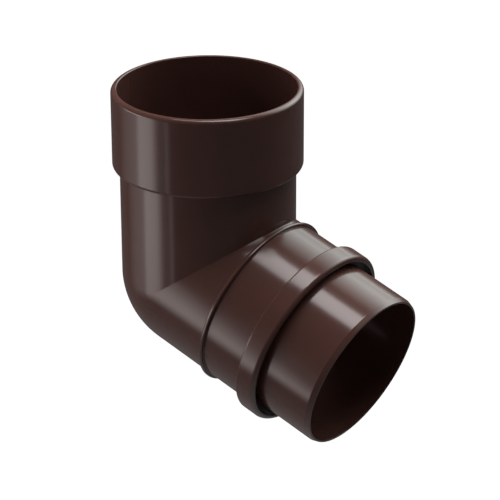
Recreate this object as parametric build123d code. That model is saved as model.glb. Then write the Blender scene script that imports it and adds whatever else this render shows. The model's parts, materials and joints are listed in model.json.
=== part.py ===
from build123d import *
from math import radians, tan
import os

# Downspout elbow: one injection-moulded PVC fitting for a round 85 mm rainwater downpipe.
#
# The downpipe from above drops into the socket and lands on a ledge, the pipe stop. Below it the
# body turns the water through 72 degrees. The outlet leg carries a thin bead, a plain band, and a
# collar whose skirt hangs over the next pipe, while the narrower spigot inside it enters that pipe.
#
# Lengths are in millimetres. The origin is the centre of the pipe stop, where the upper pipe's end
# rests. +Z runs along the socket's axis, out of its mouth. The outlet leg leans towards +X.

# The bend, in degrees that the water turns
bend_angle = 72.0

# The downpipe that both ends of the elbow are made for
pipe_diameter = 85.0
pipe_wall = 1.8

# The sleeves that go round a pipe's outside: the socket above and the collar's skirt below
sleeve_clearance = 0.3
sleeve_wall = 2.9
rim_rounding = 2.1

# Socket round the upper pipe, with a bevel inside its lip that leads the pipe in
socket_depth = 36.0
lip_bevel = 0.35
socket_base_bevel = 1.2

# Pipe stop, the ledge that the pipe's end lands on
stop_width = 3.2
stop_thickness = 2.9

# Body: two straight legs that meet in a mitre inside the bend and in a ball-shaped heel outside it
body_wall = 2.9
neck_length = 22.9

# Bead round the outlet leg, measured from the mitre's inner corner
bead_offset = 3.4
bead_width = 2.2
bead_height = 1.65
bead_bevel = 0.6

# Plain band between the bead and the collar
band_length = 23.1

# Collar with its skirt, which covers the end of the next pipe
collar_length = 10.6
collar_web = 2.9
collar_back_bevel = 0.4

# Spigot, which enters the next pipe
spigot_reach = 29.5
spigot_clearance = 0.85
spigot_wall = 1.8
lead_in_length = 2.5
lead_in_depth = 0.85
narrowing_length = 6.0

# Radii that follow from the pipe
pipe_radius = pipe_diameter / 2
sleeve_bore_radius = pipe_radius + sleeve_clearance
sleeve_radius = sleeve_bore_radius + sleeve_wall
bore_radius = pipe_radius - stop_width
body_radius = bore_radius + body_wall
bead_radius = body_radius + bead_height
spigot_radius = pipe_radius - pipe_wall - spigot_clearance
spigot_bore_radius = spigot_radius - spigot_wall

# Distances along each leg from the crossing of the two axes
mitre_reach = body_radius * tan(radians(bend_angle / 2))
socket_base = mitre_reach + neck_length
stop_height = socket_base + stop_thickness
socket_mouth = stop_height + socket_depth
bead_front = mitre_reach + bead_offset
bead_back = bead_front - bead_width
collar_back = bead_front + band_length
gap_root = collar_back + collar_web
collar_front = collar_back + collar_length
spigot_end = collar_front + spigot_reach
lead_in_start = spigot_end - lead_in_length
narrowing_start = collar_back - narrowing_length


def turned(corners):
    """A solid turned about Z from the corners of its half-section.

    A corner is (radius, height), and may add the finish of its edge, fillet or chamfer, with a size.
    """
    outline = make_face(Polyline([corner[:2] for corner in corners], close=True))
    for radius, height, *edge in corners:
        if edge:
            finish, size = edge
            corner = outline.vertices().sort_by_distance((radius, height, 0))[0]
            outline = finish(corner, size)
    return revolve(Plane.XZ * outline, Axis.Z)


def upright_leg_form():
    """The outside of the socket and of the body's upper leg."""
    return turned([
        (0, 0),
        (body_radius, 0),
        (body_radius, socket_base),
        (sleeve_radius, socket_base, chamfer, socket_base_bevel),
        (sleeve_radius, socket_mouth, fillet, rim_rounding),
        (0, socket_mouth),
    ])


def upright_leg_bore():
    """The way in: the socket's bore, the pipe stop and the upper leg's bore."""
    above = socket_mouth + sleeve_wall
    return turned([
        (0, 0),
        (bore_radius, 0),
        (bore_radius, stop_height),
        (sleeve_bore_radius, stop_height),
        (sleeve_bore_radius, socket_mouth, chamfer, lip_bevel),
        (sleeve_radius, socket_mouth),
        (sleeve_radius, above),
        (0, above),
    ])


def outlet_leg_form():
    """The outside of the outlet leg: body, bead, band, collar with its hollow skirt, and spigot."""
    return turned([
        (0, 0),
        (body_radius, 0),
        (body_radius, bead_back, chamfer, bead_bevel),
        (bead_radius, bead_back, chamfer, bead_bevel),
        (bead_radius, bead_front, chamfer, bead_bevel),
        (body_radius, bead_front),
        (body_radius, collar_back),
        (sleeve_radius, collar_back, chamfer, collar_back_bevel),
        (sleeve_radius, collar_front, fillet, rim_rounding),
        (sleeve_bore_radius, collar_front),
        (sleeve_bore_radius, gap_root),
        (spigot_radius, gap_root),
        (spigot_radius, lead_in_start),
        (spigot_radius - lead_in_depth, spigot_end),
        (0, spigot_end),
    ])


def outlet_leg_bore():
    """The way out: the lower leg's bore, narrowing under the collar to the spigot's bore."""
    beyond = spigot_end + spigot_wall
    return turned([
        (0, 0),
        (bore_radius, 0),
        (bore_radius, narrowing_start),
        (spigot_bore_radius, gap_root),
        (spigot_bore_radius, spigot_end),
        (spigot_radius, spigot_end),
        (spigot_radius, beyond),
        (0, beyond),
    ])


def around_the_bend(upright, outlet, ball_radius):
    """Joins two turned legs at the crossing of their axes, with a ball for the heel."""
    lean = Rotation(0, 180 - bend_angle, 0)
    return upright + lean * outlet + Sphere(ball_radius)


outside = around_the_bend(upright_leg_form(), outlet_leg_form(), body_radius)
waterway = around_the_bend(upright_leg_bore(), outlet_leg_bore(), bore_radius)
elbow = Pos(0, 0, -stop_height) * (outside - waterway)

os.makedirs("parts", exist_ok=True)
export_step(elbow, "parts/elbow.step")
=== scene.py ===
import json
import math

import bmesh
import bpy
from mathutils import Matrix, Vector


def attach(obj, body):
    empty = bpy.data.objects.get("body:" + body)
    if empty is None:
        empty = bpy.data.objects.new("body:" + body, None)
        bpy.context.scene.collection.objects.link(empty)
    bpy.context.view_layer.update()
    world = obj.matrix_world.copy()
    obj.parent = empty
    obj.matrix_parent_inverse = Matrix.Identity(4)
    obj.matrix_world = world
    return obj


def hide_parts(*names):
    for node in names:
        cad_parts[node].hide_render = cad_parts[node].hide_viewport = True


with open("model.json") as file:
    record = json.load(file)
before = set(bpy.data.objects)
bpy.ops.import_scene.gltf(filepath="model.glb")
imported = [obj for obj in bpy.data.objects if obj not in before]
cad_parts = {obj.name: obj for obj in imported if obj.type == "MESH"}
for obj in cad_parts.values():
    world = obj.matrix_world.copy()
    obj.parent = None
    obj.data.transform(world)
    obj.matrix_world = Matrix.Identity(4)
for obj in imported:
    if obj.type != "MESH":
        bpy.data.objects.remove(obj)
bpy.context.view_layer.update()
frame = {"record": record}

# Elbow
# One injection moulding in unplasticised PVC, dark brown right through, for a round 85 mm downpipe.
# Each leg is a turned form with its own bore. The legs meet in a mitre inside the bend and in a
# ball-shaped heel outside it. The upper pipe carries it in the socket. Sizes are in millimetres.
mm = 0.001
mounts = {mount["name"]: mount for mount in frame["record"]["mounts"]}
upright_axis = Vector(mounts["socket"]["axis"])
outlet_axis = Vector(mounts["spigot"]["axis"])
spigot_middle = Vector(mounts["spigot"]["pos_m"]) / mm
crossing = spigot_middle - outlet_axis * (spigot_middle.x / outlet_axis.x)
half_bend = (math.pi - upright_axis.angle(outlet_axis)) / 2

socket_bore_radius = mounts["socket"]["dims"]["r_mm"]
socket_depth = mounts["socket"]["dims"]["length_mm"]
socket_wall = 2.9
rim_rounding = 2.1
lip_rounding = 0.55
base_rounding = 1.9
crease_rounding = 0.15

stop_thickness = 2.9
stop_rounding = 0.5
bore_radius = 39.3
body_radius = 42.2

bead_offset = 3.4
bead_width = 2.2
bead_height = 1.65
bead_front_rounding = 0.6
bead_back_rounding = 1.3
bead_foot_rounding = 0.3

band_length = 23.1
collar_length = 10.6
collar_back_rounding = 1.0

spigot_radius = mounts["spigot"]["dims"]["r_mm"]
spigot_length = mounts["spigot"]["dims"]["length_mm"]
spigot_wall = 1.8
lead_in_length = 2.5
lead_in_depth = 0.85
mouth_rounding = 0.2
narrowing_length = 6.0

# Distances along each leg from the crossing of the two axes, and the radii that follow
stop_height = -crossing.z
socket_base = stop_height - stop_thickness
socket_mouth = stop_height + socket_depth
socket_radius = socket_bore_radius + socket_wall
bead_front = body_radius * math.tan(half_bend) + bead_offset
bead_back = bead_front - bead_width
bead_radius = body_radius + bead_height
collar_back = bead_front + band_length
collar_front = collar_back + collar_length
gap_root = (spigot_middle - crossing).length - spigot_length / 2
lead_in_start = gap_root + spigot_length
spigot_end = lead_in_start + lead_in_length

# Each corner of a half-section is a radius, a distance from the crossing, and the rounding it gets.
upright_section = [
    (bore_radius, 0, 0),
    (bore_radius, stop_height, stop_rounding),
    (socket_bore_radius, stop_height, crease_rounding),
    (socket_bore_radius, socket_mouth, lip_rounding),
    (socket_radius, socket_mouth, rim_rounding),
    (socket_radius, socket_base, base_rounding),
    (body_radius, socket_base, crease_rounding),
    (body_radius, 0, 0),
]
outlet_section = [
    (bore_radius, 0, 0),
    (bore_radius, collar_back - narrowing_length, crease_rounding),
    (spigot_radius - spigot_wall, gap_root, crease_rounding),
    (spigot_radius - spigot_wall, spigot_end, mouth_rounding),
    (spigot_radius - lead_in_depth, spigot_end, mouth_rounding),
    (spigot_radius, lead_in_start, crease_rounding),
    (spigot_radius, gap_root, crease_rounding),
    (socket_bore_radius, gap_root, crease_rounding),
    (socket_bore_radius, collar_front, lip_rounding),
    (socket_radius, collar_front, rim_rounding),
    (socket_radius, collar_back, collar_back_rounding),
    (body_radius, collar_back, crease_rounding),
    (body_radius, bead_front, crease_rounding),
    (bead_radius, bead_front, bead_front_rounding),
    (bead_radius, bead_back, bead_back_rounding),
    (body_radius, bead_back, bead_foot_rounding),
    (body_radius, 0, 0),
]

ring_steps = 240
heel_steps = round(ring_steps * 2 * half_bend / math.tau)
rounding_steps = 8
same_place = 0.001
mitre_normal = (upright_axis - outlet_axis).normalized()
mitre_line = (upright_axis + outlet_axis).normalized()


def add_leg(moulding, section):
    """Turns a half-section about +Z, cuts the leg off at the mitre and returns its vertices."""
    before = set(moulding.verts)
    corners = [moulding.verts.new((radius, 0, distance)) for radius, distance, rounding in section]
    for start, end in zip(corners, corners[1:]):
        moulding.edges.new((start, end))
    for corner, (radius, distance, rounding) in zip(corners, section):
        if rounding:
            bmesh.ops.bevel(moulding, geom=[corner], offset=rounding, segments=rounding_steps,
                            profile=0.5, affect="VERTICES", material=-1)
    outline = [vert for vert in moulding.verts if vert not in before]
    runs = list({edge for vert in outline for edge in vert.link_edges})
    bmesh.ops.spin(moulding, geom=outline + runs, axis=upright_axis, angle=math.tau,
                   steps=ring_steps, use_merge=True)
    leg = [vert for vert in moulding.verts if vert not in before]
    skin = list({part for vert in leg for part in (*vert.link_edges, *vert.link_faces)})
    bmesh.ops.bisect_plane(moulding, geom=leg + skin, dist=same_place, plane_co=(0, 0, 0),
                           plane_no=mitre_normal, clear_inner=True)
    return [vert for vert in moulding.verts if vert not in before]


def add_heel(moulding, radius):
    """Swings the outer half of a leg's ring about the crossing, from one leg round to the other."""
    ring = bmesh.ops.create_circle(moulding, radius=radius, segments=ring_steps)["verts"]
    inside_bend = [vert for vert in ring if vert.co.x > same_place]
    half_ring = [vert for vert in ring if vert.co.x <= same_place]
    bmesh.ops.delete(moulding, geom=inside_bend, context="VERTS")
    runs = list({edge for vert in half_ring for edge in vert.link_edges})
    bmesh.ops.spin(moulding, geom=half_ring + runs, axis=(0, -1, 0), angle=2 * half_bend,
                   steps=heel_steps)


moulding = bmesh.new()
outlet_leg = add_leg(moulding, outlet_section)
bmesh.ops.rotate(moulding, verts=outlet_leg, cent=(0, 0, 0),
                 matrix=Matrix.Rotation(math.pi, 3, mitre_line))
add_leg(moulding, upright_section)
add_heel(moulding, body_radius)
add_heel(moulding, bore_radius)
bmesh.ops.remove_doubles(moulding, verts=moulding.verts, dist=same_place)
bmesh.ops.recalc_face_normals(moulding, faces=moulding.faces)

# The roundings and the heel run on smoothly. The mitre stays a crease over its whole length.
crease_angle = math.radians(25)
for edge in moulding.edges:
    in_mitre = all(abs(vert.co.dot(mitre_normal)) < same_place for vert in edge.verts)
    edge.smooth = edge.calc_face_angle() < crease_angle and not in_mitre
for face in moulding.faces:
    face.smooth = True

bmesh.ops.translate(moulding, verts=moulding.verts, vec=crossing)
bmesh.ops.scale(moulding, verts=moulding.verts, vec=(mm, mm, mm))
elbow_mesh = bpy.data.meshes.new("moulded_elbow")
moulding.to_mesh(elbow_mesh)
moulding.free()
elbow = bpy.data.objects.new("moulded_elbow", elbow_mesh)
bpy.context.scene.collection.objects.link(elbow)
shading = elbow.modifiers.new("even shading", "WEIGHTED_NORMAL")
shading.keep_sharp = True


def linear(hex_colour):
    """An sRGB hex colour as linear red, green, blue and alpha."""
    channels = [int(hex_colour[start:start + 2], 16) / 255 for start in (0, 2, 4)]
    return [value / 12.92 if value <= 0.04045 else ((value + 0.055) / 1.055) ** 2.4
            for value in channels] + [1]


def node(owner, kind, settings=None, *sources, **links):
    """Adds a shader node. Settings name its properties or sockets, and links name its sockets.

    Sources are outputs or plain numbers for the node's first sockets, in order.
    """
    tree = owner.node_tree
    added = tree.nodes.new(kind)
    for name, value in (settings or {}).items():
        if name in added.inputs:
            added.inputs[name].default_value = value
        else:
            setattr(added, name, value)
    for socket, source in zip(added.inputs, sources):
        if isinstance(source, float):
            socket.default_value = source
        else:
            tree.links.new(source, socket)
    for name, source in links.items():
        tree.links.new(source, added.inputs[name.replace("_", " ")])
    return added


# Unplasticised PVC, injection moulded in a lightly blasted tool. The eye sees a dark chocolate
# brown, a trifle uneven, with a semi-gloss skin that shows the lamps as soft-edged bright bands.
# The tool's real grain is too fine to show, so it is drawn about as wide as a pixel.
grain_width = 0.45
grain_depth = 0.02
grain_strength = 0.15
smoothest = 0.15
roughest = 0.19
cloud_width = 14.0
cloud_range = (0.3, 0.7)
browns = ("432B26", "472E29")
refraction = 1.5

pvc = bpy.data.materials.new("unplasticised PVC, moulded brown")
pvc.use_nodes = True
pvc.node_tree.nodes.clear()
place = node(pvc, "ShaderNodeTexCoord").outputs["Object"]
grain = node(pvc, "ShaderNodeTexNoise", {"Scale": 1 / (grain_width * mm), "Detail": 2.0},
             Vector=place).outputs["Fac"]
clouds = node(pvc, "ShaderNodeTexNoise", {"Scale": 1 / (cloud_width * mm), "Detail": 3.0},
              Vector=place).outputs["Fac"]
brown = node(pvc, "ShaderNodeValToRGB", Fac=clouds)
for stop, position, colour in zip(brown.color_ramp.elements, cloud_range, browns):
    stop.position = position
    stop.color = linear(colour)
gloss = node(pvc, "ShaderNodeMapRange", {"To Min": smoothest, "To Max": roughest}, Value=grain)
skin = node(pvc, "ShaderNodeBump", {"Strength": grain_strength, "Distance": grain_depth * mm},
            Height=grain)
plastic = node(pvc, "ShaderNodeBsdfPrincipled", {"IOR": refraction},
               Base_Color=brown.outputs["Color"], Roughness=gloss.outputs["Result"],
               Normal=skin.outputs["Normal"])
node(pvc, "ShaderNodeOutputMaterial", Surface=plastic.outputs["BSDF"])
elbow_mesh.materials.append(pvc)
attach(elbow, "root")
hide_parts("elbow")

# Floor
# A pale painted studio floor, well below the elbow, which hangs from its pipe. The camera sees it
# as white. The dark plastic mirrors it only faintly, so that the skin keeps its deep colour.
# From here on, sizes are in metres.
floor_height = -3.0
floor_radius = 12.0
floor_sides = 96
mirrored_share = 0.025

floor_mesh = bpy.data.meshes.new("floor")
sheet = bmesh.new()
bmesh.ops.create_circle(sheet, cap_ends=True, radius=floor_radius, segments=floor_sides)
bmesh.ops.translate(sheet, verts=sheet.verts, vec=(0, 0, floor_height))
sheet.to_mesh(floor_mesh)
sheet.free()
floor = bpy.data.objects.new("floor", floor_mesh)
bpy.context.scene.collection.objects.link(floor)


def seen_share(owner):
    """1 for what the camera sees, straight or through glass, and mirrored_share in a mirror."""
    rays = node(owner, "ShaderNodeLightPath").outputs
    straight = node(owner, "ShaderNodeMath", {"operation": "ADD"},
                    rays["Is Camera Ray"], rays["Is Transmission Ray"])
    share = node(owner, "ShaderNodeMath", {"operation": "MULTIPLY_ADD"},
                 rays["Is Glossy Ray"], mirrored_share, straight.outputs["Value"])
    return share.outputs["Value"]


paint = bpy.data.materials.new("pale floor paint")
paint.use_nodes = True
paint.node_tree.nodes.clear()
matt = node(paint, "ShaderNodeBsdfDiffuse", {"Color": linear("E6E6E6")})
glow = node(paint, "ShaderNodeEmission", {"Color": linear("FFFFFF")}, Strength=seen_share(paint))
lit = node(paint, "ShaderNodeAddShader", None, matt.outputs["BSDF"], glow.outputs["Emission"])
node(paint, "ShaderNodeOutputMaterial", Surface=lit.outputs["Shader"])
floor_mesh.materials.append(paint)

# Camera
# A long lens, a little above the socket's mouth, on the side that the outlet leans to. Its place
# was fitted to a photograph's outlines, so its numbers aren't round. Its focal length and its
# sensor's width are in millimetres.
camera_azimuth = math.radians(38.005)
camera_elevation = math.radians(23.957)
camera_roll = math.radians(-0.232)
camera_distance = 1.2302
focal_length = 182.25
sensor_width = 36
aim = Vector((0.01383, 0.01458, -0.04976))


def facing(azimuth, elevation):
    """The turn that points a lens or lamp back from an azimuth and elevation. Azimuth 0 is -Y."""
    return (Matrix.Rotation(azimuth, 4, "Z")
            @ Matrix.Rotation(math.pi / 2 - elevation, 4, "X"))


lens = bpy.data.cameras.new("camera")
lens.sensor_width = sensor_width
lens.lens = focal_length
camera = bpy.data.objects.new("camera", lens)
camera.matrix_world = (Matrix.Translation(aim) @ facing(camera_azimuth, camera_elevation)
                       @ Matrix.Rotation(camera_roll, 4, "Z")
                       @ Matrix.Translation((0, 0, camera_distance)))
bpy.context.scene.collection.objects.link(camera)
bpy.context.scene.camera = camera

# Lamps
# Softboxes and white cards in a dim studio: overhead, behind, and as a group on the left. Their
# light fades out at their sides. The fill lights are shaded from the glossy skin, so they light
# the elbow but don't show in it.
softbox_distance = 1.5
warm_white = (1.0, 0.975, 0.97)
lamp_white = (1.0, 0.92, 0.90)
cool_white = (0.89, 1.0, 0.975)
neutral_white = (1.0, 1.0, 1.0)
crisp = (0.05, 0.05, 0.05, 0.05)


def add_softbox(name, azimuth, elevation, width, height, brightness, colour=neutral_white,
                fade=crisp, mirrored=True):
    """An area lamp that faces the elbow's bend, at an azimuth to the right of the camera's.

    Angles are in degrees, and a brightness of 1 is white. The light fades out over four shares of
    its width and height, at its left, right, lower and upper side as seen from behind it.
    """
    lamp = bpy.data.lights.new(name, "AREA")
    lamp.shape = "RECTANGLE"
    lamp.size = width
    lamp.size_y = height
    lamp.color = colour
    lamp.energy = brightness * math.pi * width * height
    lamp.use_nodes = True
    lamp.node_tree.nodes.clear()
    across = node(lamp, "ShaderNodeNewGeometry").outputs["Parametric"]
    sides = node(lamp, "ShaderNodeSeparateXYZ", Vector=across)
    level = 1.0
    for side, share in enumerate(fade):
        far = side % 2
        rise = node(lamp, "ShaderNodeMapRange", {"From Min": far, "From Max": abs(far - share)},
                    Value=sides.outputs[side // 2])
        level = node(lamp, "ShaderNodeMath", {"operation": "MULTIPLY"},
                     level, rise.outputs["Result"]).outputs["Value"]
    cloth = node(lamp, "ShaderNodeEmission", Strength=level)
    node(lamp, "ShaderNodeOutputLight", Surface=cloth.outputs["Emission"])
    box = bpy.data.objects.new(name, lamp)
    box.visible_glossy = mirrored
    box.matrix_world = (Matrix.Translation(crossing * mm)
                        @ facing(camera_azimuth + math.radians(azimuth), math.radians(elevation))
                        @ Matrix.Translation((0, 0, softbox_distance)))
    bpy.context.scene.collection.objects.link(box)


add_softbox("overhead softbox", 60.4, 79.0, 0.64, 1.07, 7.1, warm_white, (0.08, 0.05, 0.05, 0.15))
add_softbox("overhead left softbox", -108, 76.5, 0.44, 0.32, 5.6, warm_white, (0.2, 0.2, 0.2, 0.2))
add_softbox("back softbox", 131, 33, 2.68, 1.95, 5.6, cool_white, (0.5, 0.5, 0.5, 0.5))
add_softbox("low back card", 160, 14, 0.44, 0.2, 1.0, cool_white, (0.2, 0.2, 0.15, 0.5))
add_softbox("left strip", -75.6, -12, 0.80, 1.08, 2.6, lamp_white, (0.13, 0.29, 0.22, 0.1))
add_softbox("left card", -106, -12, 0.975, 1.08, 0.9, lamp_white, (0.85, 0.1, 0.22, 0.1))
add_softbox("left edge card", -95, -2, 0.8, 0.4, 3.4, lamp_white, (0.2, 0.2, 0.3, 0.2))
add_softbox("left panel", -58.5, -5, 0.395, 1.58, 0.25, lamp_white, (0.2, 0.1, 0.15, 0.4))
add_softbox("left sliver", -48, -24, 0.105, 0.75, 1.3, lamp_white, (0.3, 0.3, 0.1, 0.2))
add_softbox("back fill", 170, 62, 1.2, 1.2, 6.6, mirrored=False)
add_softbox("far left fill", -122, 15, 1.2, 1.2, 2.6, mirrored=False)
add_softbox("left fill", -90, 14, 1.3, 1.3, 1.3, mirrored=False)
add_softbox("front left fill", -55, -16, 1.0, 1.0, 1.2, mirrored=False)
add_softbox("front right fill", 30, 0, 1.0, 1.0, 0.4, mirrored=False)
add_softbox("overhead fill", -90, 82, 1.2, 1.2, 0.85, mirrored=False)

# Room
# A dim studio with pale walls, which light the elbow a little and evenly from all round. The camera
# sees its backdrop as plain white.
ambient = 0.05
white = 1.0
studio = bpy.data.worlds.new("studio")
studio.use_nodes = True
studio.node_tree.nodes.clear()
level = node(studio, "ShaderNodeMapRange", {"To Min": ambient, "To Max": white},
             Value=seen_share(studio))
room = node(studio, "ShaderNodeBackground", {"Color": linear("FFFFFF")},
            Strength=level.outputs["Result"])
node(studio, "ShaderNodeOutputWorld", Surface=room.outputs["Background"])
bpy.context.scene.world = studio
bpy.context.scene.view_settings.view_transform = "Standard"
